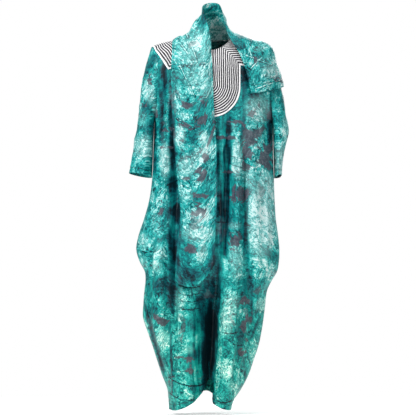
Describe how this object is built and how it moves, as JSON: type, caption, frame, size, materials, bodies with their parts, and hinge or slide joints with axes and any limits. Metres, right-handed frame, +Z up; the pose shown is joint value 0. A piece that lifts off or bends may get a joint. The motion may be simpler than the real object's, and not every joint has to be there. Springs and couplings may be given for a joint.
{
  "type": "maxi dress with its own matching stole, worn",
  "caption": "Loose worn maxi dress of hand-dyed cloth with wide sleeves, a corded yoke and a stole of its own cloth round the neck.",
  "frame": {"origin": "middle of the wearer's neck, level with the top of the shoulder seams", "axes": "+X to the viewer's right (the wearer's left), -Y to the front, +Z up"},
  "size_m": [0.611, 0.3193, 1.5488],
  "materials": {
    "dress_front": "silky hand-dyed cloth, soft sheen, crackled pale and dark blotches on teal",
    "dress_back": "silky hand-dyed cloth, soft sheen, crackled pale and dark blotches on teal",
    "right_sleeve": "silky hand-dyed cloth, soft sheen, crackled pale and dark blotches on teal",
    "left_sleeve": "silky hand-dyed cloth, soft sheen, crackled pale and dark blotches on teal",
    "yoke_bib": "black and white cords laid edge to edge, soft satin",
    "yoke_right_shoulder": "black and white cords laid edge to edge, soft satin",
    "yoke_left_shoulder": "black and white cords laid edge to edge, soft satin",
    "yoke_back": "black and white cords laid edge to edge, soft satin",
    "stole_fall": "silky hand-dyed cloth, soft sheen, paler blotches on teal",
    "stole_neck": "silky hand-dyed cloth, soft sheen, paler blotches on teal",
    "stole_shoulder": "silky hand-dyed cloth, soft sheen, paler blotches on teal"
  },
  "bodies": {
    "root": {"dress_front": "dress_front", "dress_back": "dress_back", "right_sleeve": "right_sleeve", "left_sleeve": "left_sleeve", "yoke_bib": "yoke_bib", "yoke_right_shoulder": "yoke_right_shoulder", "yoke_left_shoulder": "yoke_left_shoulder", "yoke_back": "yoke_back", "stole_fall": "stole_fall", "stole_neck": "stole_neck", "stole_shoulder": "stole_shoulder"}
  },
  "joints": []
}
